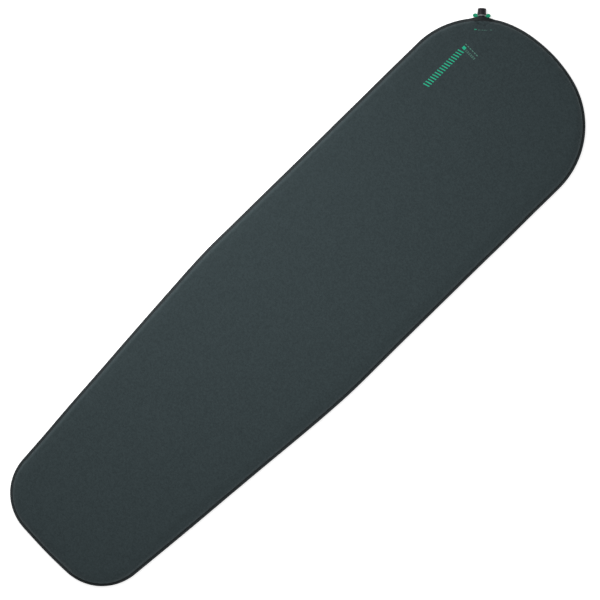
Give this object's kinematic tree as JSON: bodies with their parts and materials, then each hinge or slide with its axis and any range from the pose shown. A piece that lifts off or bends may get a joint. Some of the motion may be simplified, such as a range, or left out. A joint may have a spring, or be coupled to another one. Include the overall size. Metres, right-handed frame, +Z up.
{
  "type": "inflatable sleeping pad",
  "caption": "Tapered self-inflating sleeping pad with a welded edge, a foam core and a twist valve with turning wings in one head corner.",
  "frame": {"origin": "middle of the underside", "axes": "+Z up through the thickness, +Y towards the head, +X across; the valve is in the head corner at -X"},
  "size_m": [0.516, 1.8, 0.025],
  "materials": {
    "face_cloth": "matte",
    "base_cloth": "matte",
    "foam": "matte",
    "black_plastic": "satin",
    "green_plastic": "satin",
    "grey_plastic": "satin",
    "rubber": "matte",
    "silicone": "satin",
    "steel": "satin"
  },
  "bodies": {
    "pad": {"top_fabric": "face_cloth", "bottom_fabric": "base_cloth", "foam_core": "foam", "valve_base": "black_plastic", "poppet_guide": "black_plastic", "poppet_spring": "steel"},
    "collar": {"wing_collar": "green_plastic", "collar_seal": "rubber", "neck_ring": "grey_plastic", "stem_plug": "black_plastic"},
    "mouth_slide": {"mouth_seal": "rubber"},
    "knob": {"mouthpiece": "black_plastic"},
    "one_way_valve": {"poppet": "black_plastic", "poppet_seal": "silicone"}
  },
  "joints": [
    {"name": "wing_turn", "type": "hinge", "parent": "pad", "child": "collar", "pos_m": [-0.1906, 0.83715, 0.0125], "axis": [-0.6884, 0.7254, 0], "range_deg": [0, 90]},
    {"name": "poppet_slide", "type": "slide", "parent": "pad", "child": "one_way_valve", "axis": [-0.6884, 0.7254, 0], "range_m": [-0.0035, 0], "deforming": ["poppet_spring"]},
    {"name": "mouth_lift", "type": "slide", "parent": "collar", "child": "mouth_slide", "axis": [-0.6884, 0.7254, 0], "range_m": [0, 0.003]},
    {"name": "mouth_turn", "type": "hinge", "parent": "mouth_slide", "child": "knob", "pos_m": [-0.1906, 0.83715, 0.0125], "axis": [-0.6884, 0.7254, 0], "range_deg": [0, 180]}
  ],
  "couplings": [
    {"joint": "poppet_slide", "follows": "wing_turn", "m_per_rad": -0.002228},
    {"joint": "mouth_turn", "follows": "mouth_lift", "rad_per_m": 1047.2}
  ]
}
